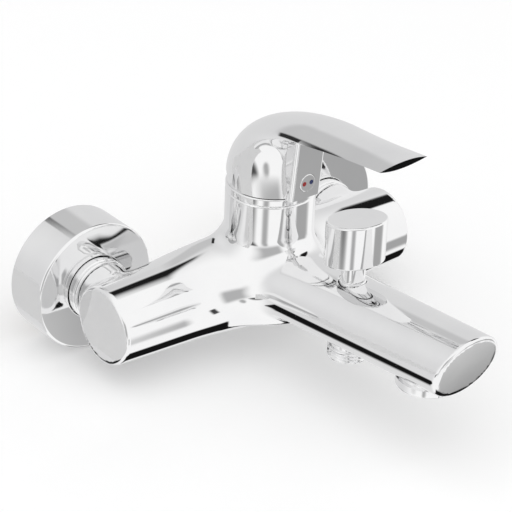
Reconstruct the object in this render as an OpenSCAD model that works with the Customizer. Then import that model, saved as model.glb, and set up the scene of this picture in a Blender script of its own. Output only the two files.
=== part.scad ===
// Wall mounted bath faucet: a single lever mixer with a fixed spout, a pull-up
// diverter for the shower outlet and two wall connections behind rosettes.
// The origin is on the wall face, midway between the two supply threads.
// +X runs along the body, -Y points away from the wall, +Z is up.

/* [Wall connection] */
// Distance between the two supply threads
inlet_spacing = 150; // [140:1:160]
// Distance from the wall face to the axis of the body
wall_gap = 53.5; // [52:0.5:60]
// Height step of the eccentric unions
union_step = 8; // [4:0.5:9]
// Outer diameter of a wall rosette
rosette_d = 68.6; // [60:0.2:76]
// Depth of a wall rosette
rosette_depth = 25; // [20:0.5:26]
// Diameter of the round union nut
nut_d = 33; // [32:0.5:36]

/* [Body] */
// Length of the body across its two end faces
body_length = 186; // [182:1:200]
// Body diameter at the end faces
body_end_d = 41; // [40:0.2:46]
// Body diameter at the middle
body_mid_d = 48; // [47:0.5:54]
// Rounding at the rim of an end face
end_rounding = 1.6; // [0.5:0.1:3]

/* [Cartridge housing] */
// Distance of the housing axis in front of the body axis
housing_forward = 15.5; // [10:0.5:18]
// Height of the housing rim above the body axis
housing_top = 53.4; // [50:0.2:58]
// Outer diameter of the housing at its rim
housing_d = 45.4; // [45:0.2:50]

/* [Spout] */
// Distance of the spout end in front of the body axis
spout_reach = 160; // [140:1:180]
// Height of the spout end above the body axis
spout_rise = 21; // [10:0.5:25]
// Width of the spout end
spout_end_w = 39.4; // [36:0.2:44]
// Height of the spout end
spout_end_h = 34.6; // [33:0.2:40]
// Forward lean of the end face in degrees
spout_end_lean = 15; // [0:1:30]
// Distance of the outlet axis in front of the body axis
outlet_forward = 135; // [120:1:150]

/* [Diverter] */
// Distance of the diverter axis in front of the body axis
diverter_forward = 79.5; // [70:0.5:90]
// Diameter of the diverter knob
knob_d = 29.6; // [26:0.2:34]
// Height of the diverter knob
knob_h = 22.8; // [18:0.2:26]
// Height of the knob's lower face above the body axis
knob_base = 40.6; // [40:0.2:44]
// Slope of the knob's two faces in degrees, rising to the front
knob_slant = 11; // [0:1:12]
// Lift of the diverter knob
diverter_travel = 5.9; // [4:0.1:6]

/* [Lever] */
// Reach of the lever tip in front of the housing axis
lever_reach = 94; // [80:1:110]
// Height of the lever tip's underside above the body axis
lever_tip_z = 101; // [98:0.5:108]
// Width of the lever at its tip
lever_tip_w = 29.4; // [24:0.2:36]
// Thickness of the lever at its tip
lever_tip_t = 5.6; // [4:0.2:8]

/* [Hidden] */
$fn = 96;
LEFT = -1;
RIGHT = 1;
EPS = 0.01;

// Finishes
CHROME = "#c9ccce";
BRASS = "#b5994f";
STEEL = "#9da1a4";
RUBBER = "#2a2a2a";
PLASTIC = "#e6e4dc";
CERAMIC = "#f1efe8";

// Pipe threads, modelled at their outer diameter
THREAD_HALF_R = 20.955 / 2;
THREAD_34_R = 26.441 / 2;
WATERWAY_R = 7.5;
WALL_BORE_R = 7;
TAIL_THREAD_R = 10;

// Wall connection, measured along Y from the wall face
union_in_wall = 15;
union_front = 22.5;
gasket_t = 2;
collar_t = 2.5;
nut_front = 31;
nut_back = 12;
collar_front = union_front + gasket_t + collar_t;
rosette_wall = 1.8;
ring_wire = 2.4;

// Cartridge, heights above the body axis
cart_floor = 22;
base_top = 25;
fixed_top = 28.5;
moving_top = 31.5;
carrier_top = 36;
rotor_base = 36.4;
rotor_shoulder = 47;
rotor_top = 53;
rotor_r = 14.8;
neck_r = 11.6;
case_top = 51;
pivot_z = 44;
cart_r = 17.4;
case_neck_r = 16.6;
nut_r = 19.3;
shroud_rim = 57.4;
shroud_sphere_r = 20.5;
handle_base = 57.8;
spindle_top = 77;
spindle_w = 8;
screw_z = 66.8;
ball_z = 34.6;
ball_r = 3;

// Lever
handle_sphere_r = shroud_sphere_r + 0.6;
hub_w = 19;
hub_lean = 5;
plug_r = 4.7;
hub_face = 27.2;
lift_relief = 18.5;
relief_start = 2.5;

// Spout and diverter, heights above the body axis
spout_root_z = 5.5;
spout_root_w = 48;
arm_forward = 1.8;
arm_drop = 2.4;
spout_root_h = 33.6;
chamber_r = 8.6;
chamber_floor = 4;
seat_base = 14;
seat_top = 16;
feed_z = 9.5;
spout_channel_z = 20.5;
channel_r = 4.5;
stem_r = 3;
valve_base = chamber_floor + 0.05;
valve_top = seat_base - diverter_travel - 0.1;
bonnet_r = 6;
bonnet_thread_r = 6.6;
bonnet_base = 25;
bonnet_shoulder = 30;
bonnet_top = 46;
nipple_base = -12.4;
nipple_shoulder = -6;
nipple_neck_r = THREAD_HALF_R - 1.5;
aerator_base = 0.4;
aerator_shoulder = 4.4;
aerator_r = 15.2;
aerator_thread_r = 14;
aerator_top = 9.4;

module at_body() {
    translate([0, -wall_gap, -union_step]) children();
}
module at_housing() {
    at_body() translate([0, -housing_forward, 0]) children();
}
module at_diverter() {
    at_body() translate([0, -diverter_forward, 0]) children();
}
module at_outlet() {
    at_body() translate([0, -outlet_forward, 0]) children();
}
// Places a part drawn along +Z so that it runs out from the wall at one inlet
module at_inlet(side) {
    translate([side * inlet_spacing / 2, 0, -union_step]) rotate([90, 0, 0]) children();
}
module tube(outer_r, inner_r, from, to) {
    translate([0, 0, from]) difference() {
        cylinder(r = outer_r, h = to - from);
        translate([0, 0, -1]) cylinder(r = inner_r, h = to - from + 2);
    }
}
module rod(r, from, to) {
    translate([0, 0, from]) cylinder(r = r, h = to - from);
}
module rod_x(r, from, to) {
    translate([from, 0, 0]) rotate([0, 90, 0]) cylinder(r = r, h = to - from);
}
module rod_y(r, from, to) {
    translate([0, to, 0]) rotate([90, 0, 0]) cylinder(r = r, h = to - from);
}
module o_ring(centre_r, wire_r, z) {
    translate([0, 0, z]) rotate_extrude() translate([centre_r, 0]) circle(r = wire_r, $fn = 32);
}

// ---- Body ----
// Radius of the body at a distance from its middle
function body_r(x) = body_mid_d / 2 - (body_mid_d - body_end_d) / body_length * abs(x);

module body_arms() {
    half = body_length / 2;
    end_r = body_end_d / 2;
    rotate([0, -90, 0]) rotate_extrude() polygon([
        [0, -half],
        [end_r - end_rounding, -half],
        [end_r, -half + end_rounding],
        [body_mid_d / 2, 0],
        [end_r, half - end_rounding],
        [end_r - end_rounding, half],
        [0, half]
    ]);
}
module housing_wall() {
    top_r = housing_d / 2;
    translate([0, -housing_forward, 0]) rotate_extrude() polygon(concat(
        [[0, -12], [top_r + 5, -12]],
        [for (a = [0:15:75]) [top_r + 5 * pow(1 - sin(a), 1.5) + 0.4, 8 + 32 * sin(a)]],
        [[top_r, housing_top], [0, housing_top]]
    ));
}
// Oval slice of the spout that faces forward
module spout_slice(forward, height, w, h, lean) {
    translate([0, -forward, height]) rotate([90 + lean, 0, 0])
        linear_extrude(0.2) scale([w / 2, h / 2]) circle(r = 1, $fn = 64);
}
module spout_arm() {
    edge = 1.6;
    hull() {
        spout_slice(6, spout_root_z, spout_root_w, spout_root_h, 0);
        spout_slice(spout_reach - edge, spout_rise, spout_end_w, spout_end_h, spout_end_lean);
        spout_slice(spout_reach, spout_rise, spout_end_w - edge, spout_end_h - edge,
            spout_end_lean);
    }
}
module inlet_boss(side) {
    translate([side * inlet_spacing / 2, 0, 0]) rod_y(nut_d / 2 - 1, 0, wall_gap - nut_front - 0.2);
}
module body_waterways() {
    arm_bore_r = 13;
    run = inlet_spacing / 2 - 7;
    for (side = [LEFT, RIGHT]) {
        translate([side * inlet_spacing / 2, 0, 0]) rod_y(TAIL_THREAD_R, 4, wall_gap);
        translate([side * inlet_spacing / 2, 0, 0]) rod_y(WATERWAY_R, -7, wall_gap);
        translate([side * (inlet_spacing / 2 + 1) / 2, 0, 0]) rod_x(arm_bore_r, -run / 2, run / 2);
        translate([side * 8, 0, 0]) rod_y(3.8, -housing_forward - 2, 4);
        translate([side * 8, -housing_forward, 0]) rod(4, -2, cart_floor + 1);
    }
    translate([0, -housing_forward - 9, 0]) rod(channel_r, feed_z - 2, cart_floor + 1);
    translate([0, 0, feed_z]) rod_y(channel_r - 0.3, -diverter_forward, -housing_forward - 7);
    translate([0, 0, spout_channel_z]) rod_y(channel_r, -outlet_forward, -diverter_forward);
}
module diverter_bore() {
    rod(chamber_r, chamber_floor, seat_base);
    rod(bonnet_r, seat_base - 1, seat_top + 1);
    rod(chamber_r, seat_top, bonnet_base);
    rod(bonnet_thread_r, bonnet_base - 1, bonnet_top);
    rod(nipple_neck_r, nipple_base, chamber_floor + 1);
}
module outlet_bore() {
    rod(aerator_r + 0.3, nipple_base, aerator_shoulder + 0.2);
    rod(aerator_thread_r, nipple_base, aerator_top + 1);
    rod(aerator_thread_r - 3, aerator_top, spout_channel_z + 2);
}
module mixer_body() {
    color(CHROME) at_body() difference() {
        union() {
            translate([0, -arm_forward, -arm_drop]) body_arms();
            housing_wall();
            spout_arm();
            for (side = [LEFT, RIGHT]) inlet_boss(side);
        }
        translate([0, -housing_forward, 0]) {
            rod(cart_r + 0.1, cart_floor, housing_top + 1);
            rod(nut_r, case_top - 5, housing_top + 1);
        }
        body_waterways();
        translate([0, -diverter_forward, 0]) diverter_bore();
        translate([0, -outlet_forward, 0]) outlet_bore();
    }
}

// ---- Wall connection ----
module s_union(side) {
    color(BRASS) difference() {
        union() {
            translate([0, 0, union_step]) at_inlet(side) rod(THREAD_HALF_R, -union_in_wall, 5);
            at_inlet(side) rod(THREAD_34_R, 2, union_front);
        }
        translate([0, 0, union_step]) at_inlet(side) rod(WALL_BORE_R, -union_in_wall - 1, 3);
        at_inlet(side) rod(WATERWAY_R, 3 - EPS, union_front + 1);
        at_inlet(side) translate([0, union_step / 2, 3]) rod(WATERWAY_R - union_step / 2, -1, 1);
    }
}
module wall_rosette(side) {
    r = rosette_d / 2;
    hole_r = nut_d / 2 + 0.25;
    color(CHROME) at_inlet(side) rotate_extrude() polygon([
        [r - rosette_wall, 0],
        [r, 0],
        [r, rosette_depth - 1.2],
        [r - 1.2, rosette_depth],
        [hole_r, rosette_depth],
        [hole_r, rosette_depth - 1.6],
        [hole_r + 0.5 + ring_wire, rosette_depth - 1.6],
        [hole_r + 0.5 + ring_wire, rosette_depth - 1.6 - ring_wire],
        [hole_r, rosette_depth - 1.6 - ring_wire],
        [hole_r, rosette_depth - 3.4 - ring_wire],
        [hole_r + 4.5, rosette_depth - 3.4 - ring_wire],
        [hole_r + 4.5, rosette_depth - rosette_wall],
        [r - rosette_wall, rosette_depth - rosette_wall - 1]
    ]);
}
module rosette_ring(side) {
    centre = nut_d / 2 + ring_wire / 2 + 0.05;
    color(RUBBER) at_inlet(side) o_ring(centre, ring_wire / 2 - 0.05, rosette_depth - 1.6 - ring_wire / 2);
}
module union_nut(side) {
    color(CHROME) at_inlet(side) difference() {
        rod(nut_d / 2, nut_back, nut_front);
        rod(THREAD_34_R + 0.05, nut_back - 1, collar_front);
        rod(THREAD_HALF_R + 0.4, nut_back, nut_front + 1);
    }
}
module inlet_gasket(side) {
    color(RUBBER) at_inlet(side) tube(THREAD_34_R - 0.4, WATERWAY_R, union_front, union_front + gasket_t);
}
module inlet_tail(side) {
    color(BRASS) at_inlet(side) difference() {
        union() {
            rod(THREAD_34_R - 0.4, union_front + gasket_t, collar_front);
            rod(TAIL_THREAD_R, collar_front - EPS, wall_gap - 4);
        }
        rod(WATERWAY_R, union_front, wall_gap);
    }
}

// ---- Cartridge ----
module port_seals() {
    color(RUBBER) at_housing() {
        for (side = [LEFT, RIGHT]) translate([side * 8, 0, 0]) tube(5.4, 4, cart_floor, cart_floor + 1);
        translate([0, -9, 0]) tube(5.8, 4.5, cart_floor, cart_floor + 1);
    }
}
module cartridge_base() {
    color(PLASTIC) at_housing() difference() {
        rod(cart_r, cart_floor, base_top);
        for (side = [LEFT, RIGHT]) translate([side * 8, 0, 0]) {
            rod(3.6, cart_floor - 1, base_top + 1);
            rod(5.4, cart_floor - 1, cart_floor + 1);
        }
        translate([0, -9, 0]) {
            rod(4, cart_floor - 1, base_top + 1);
            rod(5.8, cart_floor - 1, cart_floor + 1);
        }
    }
}
module fixed_disc() {
    color(CERAMIC) at_housing() difference() {
        rod(15, base_top, fixed_top);
        for (side = [LEFT, RIGHT]) translate([side * 8, 0, 0]) rod(3.6, base_top - 1, fixed_top + 1);
        translate([0, -9, 0]) rod(4, base_top - 1, fixed_top + 1);
    }
}
module moving_disc() {
    color(CERAMIC) at_housing() difference() {
        rod(11, fixed_top + 0.02, moving_top);
        rod(6, fixed_top - 1, moving_top - 1.4);
    }
}
module disc_carrier() {
    color(PLASTIC) at_housing() difference() {
        rod(11, moving_top, carrier_top);
        rod(ball_r + 0.2, moving_top - 1, carrier_top + 1);
    }
}
module cartridge_rotor() {
    slot_w = spindle_w + 0.4;
    color(PLASTIC) at_housing() difference() {
        union() {
            rod(rotor_r, rotor_base, rotor_shoulder);
            rod(neck_r, rotor_base, rotor_top);
        }
        translate([-slot_w / 2, -9.6, rotor_base - 1]) cube([slot_w, 19.2, 20]);
        translate([0, 0, pivot_z]) rod_x(2.05, -20, 20);
    }
}
module spindle_pin() {
    color(STEEL) at_housing() translate([0, 0, pivot_z]) rod_x(2, -14.4, 14.4);
}
module cartridge_case() {
    color(PLASTIC) at_housing() difference() {
        union() {
            rod(cart_r, base_top, case_top - 5);
            rod(case_neck_r, base_top, case_top);
        }
        rod(rotor_r + 0.3, base_top - 1, rotor_shoulder + 0.4);
        rod(neck_r + 0.2, rotor_base, case_top + 1);
    }
}
module lever_spindle() {
    color(STEEL) at_housing() difference() {
        union() {
            translate([-spindle_w / 2, -spindle_w / 2, pivot_z - 5]) cube([spindle_w, spindle_w, spindle_top - pivot_z + 5]);
            rod(2.2, ball_z, pivot_z - 4);
            translate([0, 0, ball_z]) sphere(r = ball_r);
        }
        translate([0, 0, pivot_z]) rod_x(2.05, -20, 20);
    }
}
module cartridge_nut() {
    color(BRASS) at_housing() difference() {
        rod(nut_r, case_top - 5 + 0.02, housing_top - 0.4);
        rod(case_neck_r + 0.1, case_top - 6, case_top + 0.02);
        rod(13, case_top, housing_top + 1);
    }
}
module cartridge_shroud() {
    rim_r = housing_d / 2;
    color(CHROME) at_housing() difference() {
        union() {
            rod(rim_r, housing_top, shroud_rim);
            intersection() {
                translate([0, 0, pivot_z]) sphere(r = shroud_sphere_r);
                rod(rim_r, shroud_rim - 1, pivot_z + shroud_sphere_r);
            }
        }
        intersection() {
            translate([0, 0, pivot_z]) sphere(r = shroud_sphere_r - 1.6);
            rod(rim_r, housing_top - 1, pivot_z + shroud_sphere_r);
        }
        rod(13.2, shroud_rim, spindle_top);
    }
}

// ---- Lever ----
function bezier(a, b, c, d, t) =
    a * pow(1 - t, 3) + 3 * b * t * pow(1 - t, 2) + 3 * c * t * t * (1 - t) + d * pow(t, 3);
function mix(a, b, t) = a + (b - a) * t;
function smooth(t) = t * t * (3 - 2 * t);
lever_steps = 22;
lever_sides = 36;
lever_bend = 0.5;
rim_r = housing_d / 2 - 0.2;
// Back and top line of the lever, as [y, z] from the housing axis
function lever_back(t) = t < lever_bend
    ? bezier([rim_r, handle_base], [25, 80], [4, 100], [-38, 102], t / lever_bend)
    : mix([-38, 102], [-lever_reach, lever_tip_z + lever_tip_t], (t - lever_bend) / (1 - lever_bend));
// Front and under line of the lever
function lever_front(t) = t < lever_bend
    ? bezier([-rim_r, handle_base], [-19, 75], [-20, 88], [-38, 93], t / lever_bend)
    : mix([-38, 93], [-lever_reach, lever_tip_z], (t - lever_bend) / (1 - lever_bend));
function lever_half_w(t) = mix(rim_r, lever_tip_w / 2, smooth(min(1, t * 1.15)));
// Edge sharpness of a cross-section: 1 is an ellipse, 2 is a lens
function lever_edge(t) = mix(1, 2, smooth(min(1, t * 1.6)));
function lever_point(t, a) =
    let (back = lever_back(t), front = lever_front(t),
         centre = (back + front) / 2, half = (back - front) / 2,
         up = sign(sin(a)) * pow(abs(sin(a)), lever_edge(t)))
    [lever_half_w(t) * cos(a), centre[0] + half[0] * up, centre[1] + half[1] * up];

// Middle of a ring of points
function ring_centre(ring) = [for (k = [0:2]) [for (point = ring) 1] * [for (point = ring) point[k]] / len(ring)];
// Solid skinned over rings of points, with each end closed by a fan about its middle
module skin_rings(rings) {
    n = len(rings[0]);
    m = len(rings);
    polyhedron(
        points = concat([for (ring = rings) each ring], [ring_centre(rings[0]), ring_centre(rings[m - 1])]),
        faces = [
            for (i = [0:n - 1]) each concat(
                [[i, m * n, (i + 1) % n]],
                [for (j = [0:m - 2]) each [
                    [j * n + i, j * n + (i + 1) % n, (j + 1) * n + i],
                    [j * n + (i + 1) % n, (j + 1) * n + (i + 1) % n, (j + 1) * n + i]
                ]],
                [[(m - 1) * n + i, (m - 1) * n + (i + 1) % n, m * n + 1]]
            )
        ]
    );
}
module lever_blade() {
    skin_rings([for (j = [0:lever_steps])
        [for (i = [0:lever_sides - 1]) lever_point(j / lever_steps, -i * 360 / lever_sides)]]);
}
module lever_hub() {
    corner = 2;
    height = 33;
    depth = 18;
    translate([0, (screw_z - handle_base) * sin(hub_lean) - hub_face, handle_base + 0.3]) rotate([hub_lean, 0, 0]) {
        translate([-hub_w / 2, corner, 0]) cube([hub_w, depth, height]);
        translate([corner - hub_w / 2, 0, 0]) cube([hub_w - 2 * corner, depth, height]);
        for (side = [LEFT, RIGHT])
            translate([side * (hub_w / 2 - corner), corner, 0]) cylinder(r = corner, h = height);
    }
}
module lever_handle() {
    color(CHROME) at_housing() difference() {
        union() {
            lever_blade();
            lever_hub();
        }
        translate([0, 0, pivot_z]) sphere(r = handle_sphere_r);
        translate([-spindle_w / 2 - 0.05, -spindle_w / 2 - 0.05, pivot_z])
            cube([spindle_w + 0.1, spindle_w + 0.1, spindle_top - pivot_z + 0.5]);
        translate([0, 0, screw_z]) {
            rod_y(2.5, -40, 0);
            rod_y(plug_r + 0.1, -40, -hub_face + 4);
        }
        translate([0, -relief_start, handle_base]) rotate([lift_relief, 0, 0])
            translate([-40, 0, -20]) cube([80, 60, 20]);
    }
}
module handle_grub_screw() {
    color(STEEL) at_housing() translate([0, 0, screw_z]) difference() {
        rod_y(2.5, -14, -spindle_w / 2);
        translate([0, -11, 0]) rotate([90, 0, 0]) cylinder(r = 1.4, h = 4, $fn = 6);
    }
}
module plug_disc(r, from, to) {
    translate([0, 0, screw_z]) rod_y(r, from, to);
}
module index_plug() {
    color(CHROME) at_housing() difference() {
        plug_disc(plug_r, -hub_face - 0.4, -hub_face + 4);
        for (side = [LEFT, RIGHT]) translate([side * 2.2, 0, 0]) plug_disc(1.2, -hub_face - 2, -hub_face);
    }
}
module index_mark(side) {
    at_housing() translate([side * 2.2, 0, 0]) plug_disc(1.2, -hub_face - 0.45, -hub_face);
}
module hot_mark() {
    color("#8d1f1c") index_mark(LEFT);
}
module cold_mark() {
    color("#1d3458") index_mark(RIGHT);
}

// ---- Diverter ----
module diverter_bonnet() {
    color(CHROME) at_diverter() difference() {
        union() {
            rod(bonnet_r, bonnet_base, bonnet_top);
            rod(bonnet_thread_r, bonnet_base, bonnet_shoulder);
        }
        rod(stem_r + 0.05, bonnet_base - 1, bonnet_top + 1);
        rod(4.4, 33, 35.4);
    }
}
module bonnet_ring() {
    color(RUBBER) at_diverter() o_ring(3.78, 0.62, 34.2);
}
module diverter_stem() {
    color(STEEL) at_diverter() rod(stem_r, valve_base, knob_base + knob_h - 5);
}
module diverter_valve() {
    color(RUBBER) at_diverter() tube(chamber_r - 0.6, stem_r, valve_base, valve_top);
}
spring_wire_r = 0.5;
spring_coil_r = 4.6;
spring_turns = 5;
spring_from = valve_top + spring_wire_r + 0.05;
spring_to = bonnet_base - spring_wire_r - 0.05;
module diverter_spring() {
    sides = 6;
    steps = spring_turns * 14;
    color(STEEL) at_diverter() skin_rings([for (j = [0:steps])
        let (turn = j / steps * spring_turns * 360, z = mix(spring_from, spring_to, j / steps))
        [for (i = [0:sides - 1]) let (a = i * 360 / sides, r = spring_coil_r + spring_wire_r * cos(a))
            [r * cos(turn), r * sin(turn), z + spring_wire_r * sin(a)]]]);
}
module diverter_knob() {
    r = knob_d / 2;
    top = knob_base + knob_h;
    color(CHROME) at_diverter() difference() {
        rod(r, knob_base - r, top + r);
        translate([0, 0, top]) rotate([-knob_slant, 0, 0]) translate([-r - 2, -r - 10, 0]) cube([2 * r + 4, 2 * r + 20, 2 * r]);
        translate([0, 0, knob_base]) rotate([-knob_slant, 0, 0]) translate([-r - 2, -r - 10, -2 * r])
            cube([2 * r + 4, 2 * r + 20, 2 * r]);
        rod(bonnet_r + 0.5, knob_base - r, bonnet_top + 0.6);
        rod(stem_r, knob_base, top - 5);
    }
}

// ---- Outlets ----
module shower_nipple() {
    color(CHROME) at_diverter() difference() {
        union() {
            rod(THREAD_HALF_R, nipple_base, nipple_shoulder);
            rod(nipple_neck_r, nipple_base, chamber_floor);
        }
        rod(6.6, nipple_base - 1, chamber_floor + 1);
    }
}
module aerator_shell() {
    flat = 14.3;
    rim = 2.4;
    color(CHROME) at_outlet() difference() {
        union() {
            rod(aerator_thread_r, aerator_base, aerator_top);
            rod(aerator_r, aerator_shoulder - rim, aerator_shoulder);
            intersection() {
                rod(aerator_r, aerator_base, aerator_shoulder);
                translate([-20, -flat, aerator_base]) cube([40, 2 * flat, aerator_shoulder - aerator_base]);
            }
        }
        rod(12, aerator_base + 2, aerator_top + 1);
        rod(10.6, aerator_base - 1, aerator_top + 1);
    }
}
module aerator_insert() {
    color(PLASTIC) at_outlet() difference() {
        rod(11.9, aerator_base + 2, aerator_top - 1);
        for (x = [-8:2.8:8]) for (y = [-8:2.8:8]) if (norm([x, y]) < 9)
            translate([x - 0.9, y - 0.9, aerator_base]) cube([1.8, 1.8, 12]);
    }
}
module aerator_gasket() {
    color(RUBBER) at_outlet() tube(13.6, 10.8, aerator_top, aerator_top + 1);
}

mixer_body();
s_union(LEFT);  // s_union_left
s_union(RIGHT);  // s_union_right
wall_rosette(LEFT);  // wall_rosette_left
wall_rosette(RIGHT);  // wall_rosette_right
rosette_ring(LEFT);  // rosette_ring_left
rosette_ring(RIGHT);  // rosette_ring_right
union_nut(LEFT);  // union_nut_left
union_nut(RIGHT);  // union_nut_right
inlet_gasket(LEFT);  // inlet_gasket_left
inlet_gasket(RIGHT);  // inlet_gasket_right
inlet_tail(LEFT);  // inlet_tail_left
inlet_tail(RIGHT);  // inlet_tail_right
port_seals();
cartridge_base();
fixed_disc();
moving_disc();
disc_carrier();
cartridge_rotor();
cartridge_case();
lever_spindle();
spindle_pin();
cartridge_nut();
cartridge_shroud();
lever_handle();
handle_grub_screw();
index_plug();
hot_mark();
cold_mark();
diverter_bonnet();
bonnet_ring();
diverter_stem();
diverter_valve();
diverter_spring();
diverter_knob();
shower_nipple();
aerator_shell();
aerator_insert();
aerator_gasket();
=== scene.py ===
"""Wall mounted bath faucet in polished chrome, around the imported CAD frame."""
import math

import bmesh
import bpy
import numpy as np
from mathutils import Matrix, Vector


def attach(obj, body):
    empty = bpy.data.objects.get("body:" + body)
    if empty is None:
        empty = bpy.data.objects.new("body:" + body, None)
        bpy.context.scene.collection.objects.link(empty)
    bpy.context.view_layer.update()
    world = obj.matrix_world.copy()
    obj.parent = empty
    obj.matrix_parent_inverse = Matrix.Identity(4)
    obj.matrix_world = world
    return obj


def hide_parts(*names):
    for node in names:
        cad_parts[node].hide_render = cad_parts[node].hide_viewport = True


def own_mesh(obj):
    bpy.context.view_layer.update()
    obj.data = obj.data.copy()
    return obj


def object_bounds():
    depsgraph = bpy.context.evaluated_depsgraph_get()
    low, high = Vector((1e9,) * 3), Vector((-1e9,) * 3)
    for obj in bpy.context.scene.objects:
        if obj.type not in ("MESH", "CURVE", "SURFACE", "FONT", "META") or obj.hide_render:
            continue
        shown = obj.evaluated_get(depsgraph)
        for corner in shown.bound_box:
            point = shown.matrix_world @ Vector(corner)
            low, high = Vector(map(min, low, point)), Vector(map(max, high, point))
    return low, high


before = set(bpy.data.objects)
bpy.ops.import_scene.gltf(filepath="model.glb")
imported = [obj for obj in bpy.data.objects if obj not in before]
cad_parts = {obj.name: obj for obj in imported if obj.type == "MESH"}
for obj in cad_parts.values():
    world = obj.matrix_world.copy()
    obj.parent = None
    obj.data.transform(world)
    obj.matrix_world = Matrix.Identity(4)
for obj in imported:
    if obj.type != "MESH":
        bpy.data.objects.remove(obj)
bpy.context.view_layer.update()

MM = 0.001
LEFT, RIGHT = -1, 1

# ---- Sizes in millimetres, as in the CAD part; the origin is on the wall ----
WALL_GAP = 53.5
DROP = 8.0
INLET_X = 75.0
BODY = np.array([0.0, -WALL_GAP, -DROP])
HOUSING = BODY + [0.0, -15.5, 0.0]
DIVERTER = BODY + [0.0, -79.5, 0.0]
OUTLET = BODY + [0.0, -135.0, 0.0]
ARM_HALF, ARM_END_R, ARM_MID_R = 93.0, 20.5, 24.0
ARM_OFFSET = np.array([0.0, -1.8, -2.4])
HOUSING_R, HOUSING_TOP = 22.7, 53.4
SPOUT_START, SPOUT_REACH, SPOUT_RISE = 6.0, 160.0, 21.0
SPOUT_ROOT_Z, SPOUT_ROOT_W, SPOUT_ROOT_H = 5.5, 24.0, 16.8
SPOUT_END_W, SPOUT_END_H, SPOUT_LEAN = 19.7, 16.75, math.radians(15)
NUT_R, NUT_BACK, NUT_FRONT = 16.5, 12.0, 31.0
ROSETTE_R, ROSETTE_DEPTH = 34.3, 25.0
THREAD_R, THREAD_PITCH = 10.4775, 1.814
PIVOT_Z, HANDLE_BASE = 44.0, 57.8
KNOB_R, KNOB_BASE, KNOB_H = 14.8, 40.6, 22.8
KNOB_SLOPE = math.tan(math.radians(11))
PLUG_R, PLUG_Z, PLUG_DEPTH = 4.7, 66.8, 4
HUB_FACE, HUB_HALF_W, HUB_HEIGHT, HUB_LEAN = 27.2, 9.5, 33, math.radians(5)
HOLLOW_R = 21.1
RIM_R = 22.5
AXIS = 0.001
LEVER_REACH, LEVER_TIP_Z, LEVER_TIP_T, LEVER_TIP_W = 94.0, 101.0, 5.6, 29.4


# ---- Meshes ----
def to_object(name, points, faces, centre=(0, 0, 0)):
    """A mesh object from points in mm about a centre in mm."""
    mesh = bpy.data.meshes.new(name)
    placed = (np.asarray(points, float) + np.asarray(centre, float)) * MM
    mesh.from_pydata(placed.tolist(), [], [list(face) for face in faces])
    mesh.validate()
    piece = bpy.data.objects.new(name, mesh)
    bpy.context.scene.collection.objects.link(piece)
    return piece


def outward(piece):
    """Turns every face of a closed mesh outwards."""
    work = bmesh.new()
    work.from_mesh(piece.data)
    bmesh.ops.recalc_face_normals(work, faces=work.faces)
    work.to_mesh(piece.data)
    work.free()
    return piece


def apply_modifiers(piece):
    """Bakes the piece's modifiers into its mesh."""
    graph = bpy.context.evaluated_depsgraph_get()
    baked = bpy.data.meshes.new_from_object(piece.evaluated_get(graph))
    piece.modifiers.clear()
    piece.data = baked
    return piece


def shade(piece, sharp_degrees=35.0, weighted=True):
    """Smooth shading with sharp creases, and flat faces kept flat."""
    piece.data.shade_smooth()
    piece.data.set_sharp_from_angle(angle=math.radians(sharp_degrees))
    if weighted:
        normals = piece.modifiers.new("normals", "WEIGHTED_NORMAL")
        normals.keep_sharp = True
        normals.weight = 100
        apply_modifiers(piece)
    return piece


def rounded(corners, steps=6):
    """A closed outline whose corners (x, y, radius) are turned into arcs."""
    outline = []
    for i, (x, y, radius) in enumerate(corners):
        here = Vector((x, y))
        if radius == 0:
            outline.append(tuple(here))
            continue
        before = Vector(corners[i - 1][:2]) - here
        after = Vector(corners[(i + 1) % len(corners)][:2]) - here
        half = before.angle(after) / 2
        reach = radius / math.tan(half)
        centre = here + (before.normalized() + after.normalized()).normalized() * radius / math.sin(half)
        start = here + before.normalized() * reach - centre
        end = here + after.normalized() * reach - centre
        for k in range(steps + 1):
            arm = start.lerp(end, k / steps).normalized() * radius
            outline.append(tuple(centre + arm))
    return outline


def revolved(outline, sides=144):
    """Points and faces of a closed outline (radius, height) turned about Z."""
    rows = len(outline)
    points = []
    for s in range(sides):
        turn = 2 * math.pi * s / sides
        points += [(r * math.cos(turn), r * math.sin(turn), z) for r, z in outline]
    faces = []
    for s in range(sides):
        for k in range(rows):
            a, b = s * rows, (s + 1) % sides * rows
            n = (k + 1) % rows
            faces.append((a + k, b + k, b + n, a + n))
    return np.array(points), faces


def turned(name, corners, centre, towards_y=False, sides=144):
    """A lathe piece from outline corners (radius, height, rounding)."""
    points, faces = revolved(rounded(corners), sides)
    if towards_y:
        points = points[:, [0, 2, 1]] * [1, -1, 1]
    return shade(outward(to_object(name, points, faces, centre)))


def extruded(name, outline, low, high, matrix, centre):
    """A prism over an outline (x, y) from low to high, moved by a matrix."""
    n = len(outline)
    points = [(x, y, low) for x, y in outline] + [(x, y, high) for x, y in outline]
    points = [tuple(matrix @ Vector(point)) for point in points]
    faces = [tuple(range(n))[::-1], tuple(range(n, 2 * n))]
    faces += [(i, (i + 1) % n, n + (i + 1) % n, n + i) for i in range(n)]
    return outward(to_object(name, points, faces, centre))


def combine(piece, others, operation):
    """Boolean of a piece with others, which are then removed."""
    for other in others:
        step = piece.modifiers.new("cut", "BOOLEAN")
        step.operation = operation
        step.solver = "EXACT"
        step.object = other
        apply_modifiers(piece)
        bpy.data.objects.remove(other)
    return piece


# ---- Smooth solids from a distance field ----
def soft_min(a, b, blend):
    """The smaller of two fields, rounded where they meet."""
    overlap = np.maximum(blend - np.abs(a - b), 0)
    return np.minimum(a, b) - overlap * overlap / (4 * blend)


def soft_max(a, b, blend):
    return -soft_min(-a, -b, blend)


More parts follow.
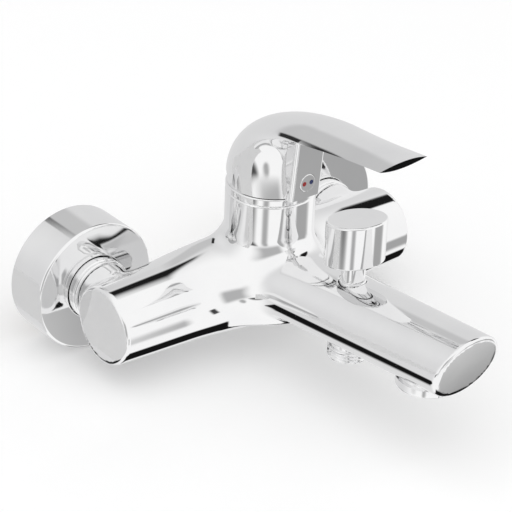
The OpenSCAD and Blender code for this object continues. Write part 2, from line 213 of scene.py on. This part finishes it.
def gradient(field, points, step=0.02):
    """The slope of a field at points, by central differences."""
    slope = np.empty_like(points)
    for axis in range(3):
        shift = np.zeros(3)
        shift[axis] = step
        slope[:, axis] = (field(points + shift) - field(points - shift)) / (2 * step)
    return slope


def crossing_points(value):
    """For every grid cell, the mean of the zero crossings on its edges, in cells."""
    total = np.zeros(tuple(n - 1 for n in value.shape) + (3,))
    count = np.zeros(total.shape[:3])
    for axis in range(3):
        other = [k for k in range(3) if k != axis]
        for da in (0, 1):
            for db in (0, 1):
                start = [slice(0, n - 1) for n in value.shape]
                start[other[0]] = slice(da, value.shape[other[0]] - 1 + da)
                start[other[1]] = slice(db, value.shape[other[1]] - 1 + db)
                end = list(start)
                end[axis] = slice(1, value.shape[axis])
                a, b = value[tuple(start)], value[tuple(end)]
                hit = (a < 0) != (b < 0)
                where = np.zeros(total.shape)
                where[..., axis] = np.where(hit, a / np.where(hit, a - b, 1), 0)
                where[..., other[0]] = da
                where[..., other[1]] = db
                total += where * hit[..., None]
                count += hit
    return total, count


def skin(name, field, low, high, cell, centre):
    """A smooth closed surface where the field is zero, with exact normals."""
    low, high = np.array(low, float), np.array(high, float)
    axes = [np.arange(low[k], high[k] + cell, cell) for k in range(3)]
    grid = np.stack(np.meshgrid(*axes, indexing="ij"), -1)
    value = field(grid)
    total, count = crossing_points(value)
    active = count > 0
    index = np.full(active.shape, -1)
    index[active] = np.arange(active.sum())
    corner = np.argwhere(active)
    points = low + cell * (corner + total[active] / count[active][:, None])
    faces = []
    for axis in range(3):
        u, v = (axis + 1) % 3, (axis + 2) % 3
        start = [slice(0, n) for n in value.shape]
        end = [slice(0, n) for n in value.shape]
        start[axis], end[axis] = slice(0, -1), slice(1, None)
        a, b = value[tuple(start)] < 0, value[tuple(end)] < 0
        for flip, mask in ((False, a & ~b), (True, ~a & b)):
            cells = np.argwhere(mask)
            du, dv = np.eye(3, dtype=int)[u], np.eye(3, dtype=int)[v]
            ring = [cells - du - dv, cells - dv, cells, cells - du]
            quad = np.stack([index[tuple(corner_cell.T)] for corner_cell in ring], 1)
            faces.append(quad[:, ::-1] if flip else quad)
    for _ in range(4):
        slope = gradient(field, points)
        size = np.maximum((slope * slope).sum(1), 1e-6)
        points = points - slope * (field(points) / size)[:, None]
    piece = to_object(name, points, np.concatenate(faces).tolist(), centre)
    slope = gradient(field, points)
    normals = slope / np.linalg.norm(slope, axis=1)[:, None]
    piece.data.shade_smooth()
    piece.data.normals_split_custom_set_from_vertices(normals.tolist())
    return piece


def disc_field(points, centre, radius):
    """Distance outside an upright cylinder."""
    return np.hypot(points[..., 0] - centre[0], points[..., 1] - centre[1]) - radius


# ---- Body ----
def arm_field(points):
    """Two tapering arms with rounded end faces."""
    p = points - ARM_OFFSET
    taper = (ARM_MID_R - ARM_END_R) / ARM_HALF
    radius = ARM_MID_R - taper * np.sqrt(p[..., 0] ** 2 + 15.0 ** 2)
    side = np.hypot(p[..., 1], p[..., 2]) - radius
    return soft_max(side, np.abs(p[..., 0]) - ARM_HALF, 2.4)


def housing_field(points):
    """Upright housing of the cartridge, which widens towards the body."""
    z = points[..., 2]
    flare = 4.0 * np.clip((30.0 - z) / 40.0, 0, 1) ** 2
    side = disc_field(points, (0, -15.5), HOUSING_R + flare)
    return soft_max(soft_max(side, z - HOUSING_TOP, 0.9), -10.0 - z, 4.0)


def spout_field(points):
    """Oval spout that rises to a leaning end face."""
    x, forward, z = points[..., 0], -points[..., 1], points[..., 2]
    t = (forward - SPOUT_START) / (SPOUT_REACH - SPOUT_START)
    half_w = SPOUT_ROOT_W + (SPOUT_END_W - SPOUT_ROOT_W) * t
    half_h = SPOUT_ROOT_H + (SPOUT_END_H - SPOUT_ROOT_H) * t
    middle = SPOUT_ROOT_Z + (SPOUT_RISE - SPOUT_ROOT_Z) * t
    side = (np.hypot(x / half_w, (z - middle) / half_h) - 1) * half_h
    end = (forward - SPOUT_REACH) * math.cos(SPOUT_LEAN) - (z - SPOUT_RISE) * math.sin(SPOUT_LEAN)
    return soft_max(soft_max(side, end, 2.2), SPOUT_START - forward, 4.0)


def boss_field(points):
    """Round bosses behind the arms, where the inlets enter."""
    side = np.hypot(np.abs(points[..., 0]) - INLET_X, points[..., 2]) - (NUT_R - 1)
    back = WALL_GAP - NUT_FRONT - 0.2
    return soft_max(soft_max(side, points[..., 1] - back, 1.0), -points[..., 1], 2.0)


def body_field(points):
    solid = soft_min(arm_field(points), spout_field(points), 26.0)
    solid = soft_min(solid, housing_field(points), 9.0)
    solid = soft_min(solid, boss_field(points), 3.0)
    z = points[..., 2]
    bonnet_hole = soft_max(disc_field(points, (0, -79.5), 6.8), 22.0 - z, 0.5)
    nipple_hole = soft_max(disc_field(points, (0, -79.5), THREAD_R - 1.3), z - 1.0, 0.5)
    outlet_hole = soft_max(disc_field(points, (0, -135.0), 15.5), z - 4.6, 0.5)
    for hole in (bonnet_hole, nipple_hole, outlet_hole):
        solid = soft_max(solid, -hole, 0.8)
    return solid


def make_body():
    cell = 1.25
    return skin("body_casting", body_field, (-97, -168, -31), (97, 26, 57), cell, BODY)


# ---- Lever ----
def bezier(a, b, c, d, t):
    s = 1 - t
    return a * s ** 3 + 3 * b * t * s * s + 3 * c * t * t * s + d * t ** 3


def smooth_step(t):
    t = min(max(t, 0.0), 1.0)
    return t * t * (3 - 2 * t)


BACK_CURVE = [np.array(v, float) for v in ((RIM_R, HANDLE_BASE), (25, 80), (4, 100), (-38, 102))]
FRONT_CURVE = [np.array(v, float) for v in ((-RIM_R, HANDLE_BASE), (-19, 75), (-20, 88), (-38, 93))]
BEND = 0.5
TIP_UNDERCUT = 3.2


def lever_line(curve, tip, t):
    """A bent start and a straight end of the lever, as (y, z)."""
    if t < BEND:
        return bezier(*curve, t / BEND)
    return curve[3] + (tip - curve[3]) * (t - BEND) / (1 - BEND)


def lever_ring(t, sides):
    """One cross-section of the lever: round at the base, lens-shaped at the tip."""
    back = lever_line(BACK_CURVE, np.array([-LEVER_REACH, LEVER_TIP_Z + LEVER_TIP_T]), t)
    front = lever_line(FRONT_CURVE, np.array([TIP_UNDERCUT - LEVER_REACH, LEVER_TIP_Z]), t)
    middle, half = (back + front) / 2, (back - front) / 2
    half_w = RIM_R + (LEVER_TIP_W / 2 - RIM_R) * smooth_step(t * 1.15)
    edge = 1 + smooth_step(t * 1.6)
    ring = []
    for k in range(sides):
        turn = 2 * math.pi * k / sides
        up = math.copysign(abs(math.sin(turn)) ** edge, math.sin(turn))
        y, z = middle + half * up
        ring.append((half_w * math.cos(turn), y, z))
    return ring


def make_lever():
    """Lever with its dome, its blade and the hub that carries the index plug."""
    sides, steps = ((160, 150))
    points = []
    for j in range(steps + 1):
        points += lever_ring(j / steps, sides)
    faces = [tuple(range(sides))]
    for j in range(steps):
        for k in range(sides):
            a, b = j * sides, (j + 1) * sides
            n = (k + 1) % sides
            faces.append((a + k, a + n, b + n, b + k))
    faces.append(tuple(range(steps * sides, (steps + 1) * sides)))
    lever = outward(to_object("lever_arm", points, faces, HOUSING))
    foot_y = (PLUG_Z - HANDLE_BASE) * math.sin(HUB_LEAN) - HUB_FACE
    foot = Matrix.Translation((0, foot_y, HANDLE_BASE + 0.3))
    outline = rounded([(-HUB_HALF_W, 0, 2), (HUB_HALF_W, 0, 2), (HUB_HALF_W, 20, 0), (-HUB_HALF_W, 20, 0)], 8)
    hub = extruded("hub", outline, 0, HUB_HEIGHT, foot @ Matrix.Rotation(HUB_LEAN, 4, "X"), HOUSING)
    combine(lever, [hub], "UNION")
    wedge = Matrix.Translation((0, -2.5, HANDLE_BASE)) @ Matrix.Rotation(math.radians(18.5), 4, "X")
    box = [(-40, 0), (40, 0), (40, 60), (-40, 60)]
    relief = extruded("relief", box, -20, 0, wedge, HOUSING)
    bore_end, bore_r = PLUG_DEPTH - HUB_FACE, PLUG_R + 0.1
    bore, bore_faces = revolved([(AXIS, -45), (bore_r, -45), (bore_r, bore_end), (AXIS, bore_end)], 64)
    bore = bore[:, [0, 2, 1]]
    socket = outward(to_object("socket", bore, bore_faces, HOUSING + [0, 0, PLUG_Z]))
    combine(lever, [relief], "DIFFERENCE")
    dome = [(HOLLOW_R * math.cos(a), PIVOT_Z + HOLLOW_R * math.sin(a)) for a in np.linspace(-1.5, 1.5, 40)]
    hollow, hollow_faces = revolved([(AXIS, PIVOT_Z - HOLLOW_R)] + dome + [(AXIS, PIVOT_Z + HOLLOW_R)], 96)
    combine(lever, [outward(to_object("hollow", hollow, hollow_faces, HOUSING)), socket], "DIFFERENCE")
    return shade(lever, 28.0)


# ---- Turned pieces ----
def make_knob():
    """Pull knob whose two faces rise to the front."""
    top = KNOB_BASE + KNOB_H
    outline = rounded([
        (6.5, KNOB_BASE, 0.3), (KNOB_R, KNOB_BASE, 0.8), (KNOB_R, top, 1.1), (0.01, top, 0),
        (0.01, top - 5, 0), (6.5, top - 5, 0)], 8)
    points, faces = revolved(outline)
    points[:, 2] -= points[:, 1] * KNOB_SLOPE
    return shade(outward(to_object("pull_knob", points, faces, DIVERTER)))


def make_thread(name, radius, bore, low, high, centre, depth=1.0):
    """A tube with a real helical pipe thread outside."""
    sides, rows = 96, 90
    points, faces = [], []
    for j in range(rows + 1):
        z = low + (high - low) * j / rows
        fade = min(1.0, (z - low) / 1.2, (high - z) / 1.2)
        for k in range(sides):
            turn = 2 * math.pi * k / sides
            phase = ((z / THREAD_PITCH) + k / sides) % 1.0
            groove = depth * (abs(phase - 0.5) * 2) * max(fade, 0)
            end_cut = depth * (1 - max(fade, 0)) * 0.9
            r = radius - groove - end_cut
            points.append((r * math.cos(turn), r * math.sin(turn), z))
    inner = len(points)
    for z in (low, high):
        points += [(bore * math.cos(2 * math.pi * k / sides), bore * math.sin(2 * math.pi * k / sides), z)
                   for k in range(sides)]
    for k in range(sides):
        n = (k + 1) % sides
        for j in range(rows):
            faces.append((j * sides + k, j * sides + n, (j + 1) * sides + n, (j + 1) * sides + k))
        faces.append((inner + k, inner + n, n, k))
        faces.append((rows * sides + k, rows * sides + n, inner + sides + n, inner + sides + k))
        faces.append((inner + sides + k, inner + sides + n, inner + n, inner + k))
    return shade(outward(to_object(name, points, faces, centre)), 50.0)


def make_aerator():
    """Aerator shell with two flats for a spanner below its rim."""
    points, faces = revolved(rounded([
        (10.6, 0.4, 0.4), (15.2, 0.4, 0.5), (15.2, 2.0, 0), (15.2, 4.4, 0.2), (14.0, 4.4, 0),
        (14.0, 9.4, 0.2), (12.0, 9.4, 0), (12.0, 2.4, 0), (10.6, 2.4, 0)], 4))
    flat = 14.3
    low = points[:, 2] < 2.0
    points[low, 1] = np.clip(points[low, 1], -flat, flat)
    return shade(outward(to_object("aerator_shell_visual", points, faces, OUTLET)))


def make_spring():
    """Return spring of round wire, between the valve and the bonnet."""
    low, high, coil_r, wire_r, turns, sides = 8.55, 24.4, 4.6, 0.5, 5, 12
    steps = turns * 40
    points, faces = [], []
    for j in range(steps + 1):
        turn = 2 * math.pi * turns * j / steps
        for k in range(sides):
            around = 2 * math.pi * k / sides
            r = coil_r + wire_r * math.cos(around)
            z = low + (high - low) * j / steps + wire_r * math.sin(around)
            points.append((r * math.cos(turn), r * math.sin(turn), z))
    for j in range(steps):
        for k in range(sides):
            n = (k + 1) % sides
            a, b = j * sides, (j + 1) * sides
            faces.append((a + k, a + n, b + n, b + k))
    faces += [tuple(range(sides)), tuple(range(steps * sides, (steps + 1) * sides))]
    return shade(outward(to_object("return_spring", points, faces, DIVERTER)), 60.0, False)


def inlet_centre(side):
    return np.array([side * INLET_X, 0, -DROP])


pieces = {}


def add(piece, body, slot, *nodes):
    """Registers a piece on its body, with its finish and the CAD nodes it stands for."""
    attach(piece, body)
    if nodes:
        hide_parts(*nodes)
    pieces[piece.name] = (piece, slot)
    return piece


add(make_body(), "faucet_body", "chrome", "mixer_body")
add(turned("shroud_ring", [
    (13.4, 53.5, 0.2), (22.7, 53.5, 0.35), (22.7, 57.3, 0.8), (15.4, 57.3, 0.3), (13.4, 59.2, 0.3)],
    HOUSING), "faucet_body", "chrome", "cartridge_shroud")
add(make_lever(), "lever", "chrome", "lever_handle")
add(make_knob(), "diverter_pull", "chrome", "diverter_knob")
add(turned("stem_bonnet", [
    (3.05, 25, 0.1), (6.6, 25, 0.2), (6.6, 30, 0.3), (6.0, 30.4, 0.1), (6.0, 46, 0.6), (3.05, 46, 0.2)],
    DIVERTER), "faucet_body", "chrome", "diverter_bonnet")
add(make_thread("shower_outlet", THREAD_R, 6.6, -12.4, -6, DIVERTER),
    "faucet_body", "chrome", "shower_nipple")
add(turned("shower_outlet_neck", [
    (6.6, -6.4, 0), (THREAD_R - 1.5, -6.4, 0.1), (THREAD_R - 1.5, 3.9, 0.1), (6.6, 3.9, 0)],
    DIVERTER), "faucet_body", "chrome")
add(make_aerator(), "faucet_body", "chrome", "aerator_shell")
spring = add(make_spring(), "faucet_body", "steel", "diverter_spring")
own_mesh(spring)
for side, word in ((LEFT, "left"), (RIGHT, "right")):
    hole = NUT_R + 0.35
    add(turned(f"rosette_{word}", [
        (ROSETTE_R - 1.8, 0, 0.2), (ROSETTE_R, 0, 0.5), (ROSETTE_R, ROSETTE_DEPTH, 1.3),
        (hole, ROSETTE_DEPTH, 0.6), (hole, ROSETTE_DEPTH - 6, 0.2), (hole + 4.5, ROSETTE_DEPTH - 6, 0.3),
        (hole + 4.5, ROSETTE_DEPTH - 1.8, 0), (ROSETTE_R - 1.8, ROSETTE_DEPTH - 1.8, 0.5)],
        inlet_centre(side), True), "faucet_body", "chrome", f"wall_rosette_{word}")
    add(turned(f"nut_{word}", [
        (13.3, NUT_BACK, 0.2), (NUT_R, NUT_BACK, 0.4), (NUT_R, 28.2, 0.3), (NUT_R - 0.7, 28.6, 0.2),
        (NUT_R - 0.7, 29.2, 0.2), (NUT_R, 29.6, 0.3), (NUT_R, NUT_FRONT, 0.7), (10.9, NUT_FRONT, 0.2),
        (10.9, 27.05, 0), (13.3, 27.05, 0)],
        inlet_centre(side), True), "faucet_body", "chrome", f"union_nut_{word}")
add(turned("index_button", [
    (0.01, HUB_FACE - PLUG_DEPTH, 0), (PLUG_R, HUB_FACE - PLUG_DEPTH, 0.1),
    (PLUG_R, HUB_FACE + 0.4, 0.5), (0.01, HUB_FACE + 0.4, 0)],
    HOUSING + [0, 0, PLUG_Z], True, 96), "lever", "chrome", "index_plug")


# ---- Materials ----
# Sockets of a colour Mix node, whose names repeat for other data types
MIX_FACTOR, MIX_A, MIX_B, MIX_RESULT = 0, 6, 7, 2


class Nodes:
    """A material under construction."""

    def __init__(self, name):
        self.material = bpy.data.materials.new(name)
        self.material.use_nodes = True
        self.tree = self.material.node_tree
        self.shader = self.tree.nodes["Principled BSDF"]
        self.position = self.tree.nodes.new("ShaderNodeTexCoord").outputs["Object"]

    def noise(self, scale, detail=3.0, roughness=0.5):
        node = self.tree.nodes.new("ShaderNodeTexNoise")
        node.inputs["Scale"].default_value = scale
        node.inputs["Detail"].default_value = detail
        node.inputs["Roughness"].default_value = roughness
        self.tree.links.new(self.position, node.inputs["Vector"])
        return node.outputs["Fac"]

    def between(self, factor, low, high, from_low=0.3, from_high=0.7):
        node = self.tree.nodes.new("ShaderNodeMapRange")
        node.inputs["From Min"].default_value = from_low
        node.inputs["From Max"].default_value = from_high
        node.inputs["To Min"].default_value = low
        node.inputs["To Max"].default_value = high
        self.tree.links.new(factor, node.inputs["Value"])
        return node.outputs["Result"]

    def tint(self, factor, first, second):
        node = self.tree.nodes.new("ShaderNodeMix")
        node.data_type = "RGBA"
        node.inputs[MIX_A].default_value = (*first, 1)
        node.inputs[MIX_B].default_value = (*second, 1)
        self.tree.links.new(factor, node.inputs[MIX_FACTOR])
        return node.outputs[MIX_RESULT]

    def bump(self, height, distance, strength=1.0):
        node = self.tree.nodes.new("ShaderNodeBump")
        node.inputs["Strength"].default_value = strength
        node.inputs["Distance"].default_value = distance
        self.tree.links.new(height, node.inputs["Height"])
        self.tree.links.new(node.outputs["Normal"], self.shader.inputs["Normal"])

    def wire(self, output, name):
        self.tree.links.new(output, self.shader.inputs[name])


def finish_material(name, first, second, rough, scale, bump_scale, bump_distance, metallic=0.0, coat=0.0):
    """A two-tone finish with its own roughness and relief."""
    made = Nodes(name)
    blotch = made.noise(scale)
    made.wire(made.tint(made.between(blotch, 0, 1), first, second), "Base Color")
    made.wire(made.between(made.noise(scale * 3), *rough), "Roughness")
    made.bump(made.noise(bump_scale, 2.0), bump_distance)
    made.shader.inputs["Metallic"].default_value = metallic
    made.shader.inputs["Coat Weight"].default_value = coat
    return made.material


MATERIALS = {
    "chrome": finish_material("polished_chrome", (0.885, 0.885, 0.885), (0.85, 0.85, 0.855),
                              (0.035, 0.065), 45, 60, 0.000004, 1.0),
    "brass": finish_material("raw_brass", (0.58, 0.42, 0.18), (0.44, 0.30, 0.12),
                             (0.22, 0.42), 180, 900, 0.00004, 1.0),
    "steel": finish_material("stainless_steel", (0.55, 0.55, 0.56), (0.45, 0.45, 0.46),
                             (0.2, 0.35), 200, 1200, 0.00002, 1.0),
    "rubber": finish_material("black_rubber", (0.012, 0.012, 0.013), (0.03, 0.03, 0.03),
                              (0.6, 0.85), 300, 1500, 0.00005),
    "plastic": finish_material("white_plastic", (0.80, 0.79, 0.75), (0.72, 0.71, 0.67),
                               (0.35, 0.5), 150, 1100, 0.00002),
    "ceramic": finish_material("ceramic_disc", (0.86, 0.84, 0.80), (0.80, 0.78, 0.74),
                               (0.12, 0.2), 120, 1500, 0.000005),
    "red_enamel": finish_material("red_enamel", (0.36, 0.012, 0.010), (0.28, 0.008, 0.008),
                                  (0.15, 0.25), 400, 1500, 0.00001, 0.0, 0.6),
    "dark_enamel": finish_material("blue_enamel", (0.010, 0.030, 0.16), (0.007, 0.02, 0.11),
                                   (0.15, 0.25), 400, 1500, 0.00001, 0.0, 0.6),
}


def paint(piece, slot):
    """Gives a piece, or a kept CAD node, the finish of its slot."""
    if not piece.material_slots:
        piece.data.materials.append(MATERIALS[slot])
    for entry in piece.material_slots:
        entry.material = MATERIALS[slot]


for piece, slot in pieces.values():
    paint(piece, slot)
for node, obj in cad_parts.items():
    for entry in obj.material_slots:
        entry.material = MATERIALS[entry.material.name.split(".")[0]]


# ---- Studio ----
def flat_material(name, colour, rough, glow=0.0):
    darker = tuple(0.97 * channel for channel in colour)
    made = finish_material(name, colour, darker, (rough, rough + 0.05), 3, 200, 0.0001)
    made.node_tree.nodes["Principled BSDF"].inputs["Emission Color"].default_value = (*colour, 1)
    made.node_tree.nodes["Principled BSDF"].inputs["Emission Strength"].default_value = glow
    return made


def card(name, centre, size, look_at, material, hidden=True):
    """A flat board in the studio, in metres, facing a point."""
    work = bmesh.new()
    bmesh.ops.create_grid(work, x_segments=8, y_segments=8, size=0.5)
    mesh = bpy.data.meshes.new(name)
    work.to_mesh(mesh)
    work.free()
    board = bpy.data.objects.new(name, mesh)
    bpy.context.scene.collection.objects.link(board)
    board.scale = (size[0], size[1], 1)
    board.location = centre
    board.rotation_euler = (Vector(look_at) - Vector(centre)).to_track_quat("Z", "Y").to_euler()
    mesh.materials.append(material)
    board.visible_camera = not hidden
    board.visible_shadow = not hidden
    board.visible_diffuse = not hidden
    return board


def softbox(name, centre, size, look_at, watts):
    light = bpy.data.lights.new(name, "AREA")
    light.shape = "RECTANGLE"
    light.size, light.size_y = size
    light.energy = watts
    lamp = bpy.data.objects.new(name, light)
    bpy.context.scene.collection.objects.link(lamp)
    lamp.location = centre
    lamp.rotation_euler = (Vector(centre) - Vector(look_at)).to_track_quat("Z", "Y").to_euler()
    return lamp


MIDDLE = (0, -0.1, 0.02)
FLOOR_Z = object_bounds()[0][2] - 0.0004
FLOOR = flat_material("pale_floor", (0.88, 0.88, 0.88), 0.6, 0.16)
floor = card("floor", (0, -0.1, FLOOR_Z), (40, 40), (0, -0.1, 5), FLOOR, False)
floor.visible_glossy = False

# ---- Light tent ----
# Boards of the tent, as boxes of direction: (x, y, z ranges), brightness, softness of the edge
TENT = [
    # grey back half of the tent
    ((-2, 2), (0.35, 2), (-2, 2), 0.76, 0.35),
    # white opening at the left of the back wall
    ((-0.75, -0.1), (0.3, 1), (0.15, 0.75), 0.84, 0.25),
    # darker grey roof panel, at the right of the spout's dark line
    ((0.04, 0.46), (0.55, 0.95), (0.45, 0.75), 0.60, 0.06),
    # black board over the right arm's side
    ((0.25, 0.9), (0.02, 0.50), (0.62, 0.87), 0.012, 0.04),
    # narrow black gap in the roof
    ((-0.03, 0.10), (0.72, 0.9), (0.48, 0.69), 0.03, 0.02),
    # black gap under the left of the tent
    ((-0.56, -0.14), (0.3, 1), (-0.80, -0.57), 0.008, 0.03),
    # black gap under the right of the tent
    ((0.2, 0.9), (-0.24, 0.30), (-1, -0.70), 0.008, 0.04),
    # grey and black uprights that show in the standing cylinders
    ((-0.98, -0.86), (-0.4, 0.25), (-0.6, -0.35), 0.08, 0.04),
    ((-0.75, -0.60), (-0.70, -0.45), (-0.6, -0.35), 0.45, 0.06),
    ((0.05, 0.16), (-1, -0.7), (-0.6, -0.35), 0.06, 0.03),
    ((0.45, 0.85), (-0.8, -0.2), (-0.62, -0.30), 0.42, 0.06),
    # grey front board that shows in the lever's dome
    ((-0.9, -0.25), (-1, -0.2), (-0.30, 0.35), 0.50, 0.12),
]


class Tent:
    """World shader that gives each direction the brightness of the board there."""

    def __init__(self, strength):
        self.world = bpy.data.worlds.new("light_tent")
        self.world.use_nodes = True
        self.tree = self.world.node_tree
        self.background = self.tree.nodes["Background"]
        self.background.inputs["Strength"].default_value = strength
        coordinates = self.tree.nodes.new("ShaderNodeTexCoord")
        split = self.tree.nodes.new("ShaderNodeSeparateXYZ")
        self.tree.links.new(coordinates.outputs["Generated"], split.inputs["Vector"])
        self.direction = [split.outputs[axis] for axis in "XYZ"]

    def ramp(self, value, start, end):
        """0 before start and 1 after end, with a smooth edge."""
        node = self.tree.nodes.new("ShaderNodeMapRange")
        node.interpolation_type = "SMOOTHSTEP"
        node.inputs["From Min"].default_value = start
        node.inputs["From Max"].default_value = end
        self.tree.links.new(value, node.inputs["Value"])
        return node.outputs["Result"]

    def times(self, a, b):
        node = self.tree.nodes.new("ShaderNodeMath")
        node.operation = "MULTIPLY"
        for socket, value in zip(node.inputs, (a, b)):
            self.tree.links.new(value, socket)
        return node.outputs["Value"]

    def mask(self, ranges, soft):
        """1 inside a box of direction."""
        inside = None
        for value, (low, high) in zip(self.direction, ranges):
            steps = []
            if low > -1:
                steps.append(self.ramp(value, low - soft, low + soft))
            if high < 1:
                steps.append(self.falling(value, high - soft, high + soft))
            for step in steps:
                inside = step if inside is None else self.times(inside, step)
        return inside

    def falling(self, value, start, end):
        """1 before start and 0 after end, with a smooth edge."""
        output = self.ramp(value, start, end)
        node = output.node
        node.inputs["To Min"].default_value = 1
        node.inputs["To Max"].default_value = 0
        return output

    def build(self, boards, base):
        """Lays the boards over the base brightness, later boards on top."""
        shade_of = None
        for *ranges, brightness, soft in boards:
            node = self.tree.nodes.new("ShaderNodeMix")
            node.data_type = "RGBA"
            if shade_of is None:
                node.inputs[MIX_A].default_value = (base, base, base, 1)
            else:
                self.tree.links.new(shade_of, node.inputs[MIX_A])
            node.inputs[MIX_B].default_value = (brightness, brightness, brightness * 1.005, 1)
            self.tree.links.new(self.mask(ranges, soft), node.inputs[MIX_FACTOR])
            shade_of = node.outputs[MIX_RESULT]
        self.tree.links.new(shade_of, self.background.inputs["Color"])
        return self.world


bpy.context.scene.world = Tent(1.0).build(TENT, 1.05)
bpy.context.scene.view_settings.view_transform = "Standard"
softbox("key", (-0.5, -0.3, 1.6), (1.8, 1.8), MIDDLE, 5).visible_glossy = False
# Painted shade: a glowing grey board on the floor left of the faucet. It is hidden from the camera, from
# shadows and from diffuse light, so it shows only in reflections, where it stands in for the shaded floor.
card("painted_floor_shade_card", (-0.26, 0.10, FLOOR_Z), (0.30, 0.40), (-0.26, 0.10, 1),
     flat_material("painted_floor_shade_grey", (0.62, 0.62, 0.62), 0.8, 0.30))

# ---- Camera, fitted to the viewing angle of the picture ----
AZIMUTH, PITCH, ROLL = (math.radians(v) for v in (-40.282, 29.182, 2.504))
DISTANCE, SHIFT_X, SHIFT_Z = 1100.0, 4.468, 5.63
back = Vector((math.sin(AZIMUTH) * math.cos(PITCH), -math.cos(AZIMUTH) * math.cos(PITCH), math.sin(PITCH)))
level = Vector((math.cos(AZIMUTH), math.sin(AZIMUTH), 0))
rise = back.cross(level)
right = level * math.cos(ROLL) + rise * math.sin(ROLL)
up = rise * math.cos(ROLL) - level * math.sin(ROLL)
camera = bpy.data.objects.new("camera", bpy.data.cameras.new("camera"))
bpy.context.scene.collection.objects.link(camera)
camera.data.sensor_width = 36
camera.data.lens = 150.4
turn = Matrix((right, up, back)).transposed().to_4x4()
place = Vector(BODY) + right * SHIFT_X + up * SHIFT_Z + back * DISTANCE
camera.matrix_world = Matrix.Translation(place * MM) @ turn
bpy.context.scene.camera = camera
